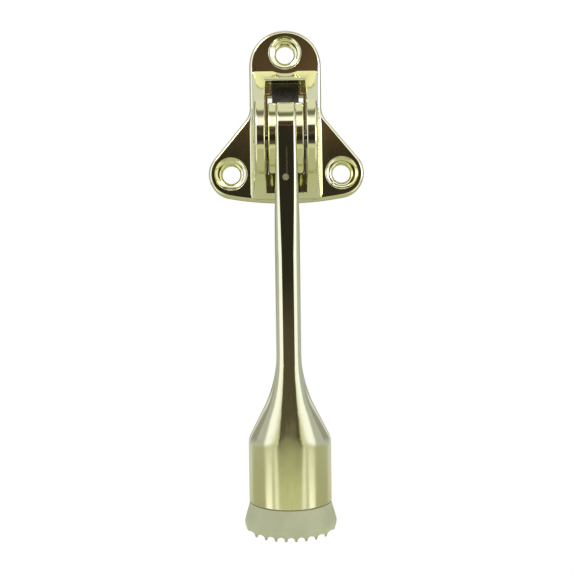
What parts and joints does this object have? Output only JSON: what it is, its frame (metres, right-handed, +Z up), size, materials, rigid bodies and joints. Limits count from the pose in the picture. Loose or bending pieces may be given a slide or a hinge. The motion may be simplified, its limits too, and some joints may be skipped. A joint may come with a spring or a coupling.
{
  "type": "floor door holder",
  "caption": "Kick-down door holder: a screw plate with a clevis, a swinging arm held by a leaf spring, and a ribbed rubber foot that grips the floor.",
  "frame": {"origin": "on the door face of the screw plate, on its centre line, between the top screw hole and the window behind the spring", "axes": "+Y into the door, +Z up the door, +X along the pivot pin, to the right as seen from the room"},
  "size_m": [0.041, 0.0275, 0.1298],
  "materials": {
    "plated_base": "bright plated, polished",
    "plated_arm": "bright plated, polished",
    "pin_steel": "drawn",
    "spring_steel": "oil blackened",
    "pale_rubber": "matte, slightly translucent"
  },
  "bodies": {
    "base": {"mounting_base": "plated_base", "pivot_pin": "pin_steel", "detent_spring": "spring_steel"},
    "arm": {"swing_arm": "plated_arm", "rubber_foot": "pale_rubber"}
  },
  "joints": [
    {"name": "arm_swing", "type": "hinge", "parent": "base", "child": "arm", "pos_m": [0, -0.017, -0.0178], "axis": [-1, 0, 0], "range_deg": [0, 172], "deforming": ["detent_spring"]}
  ]
}
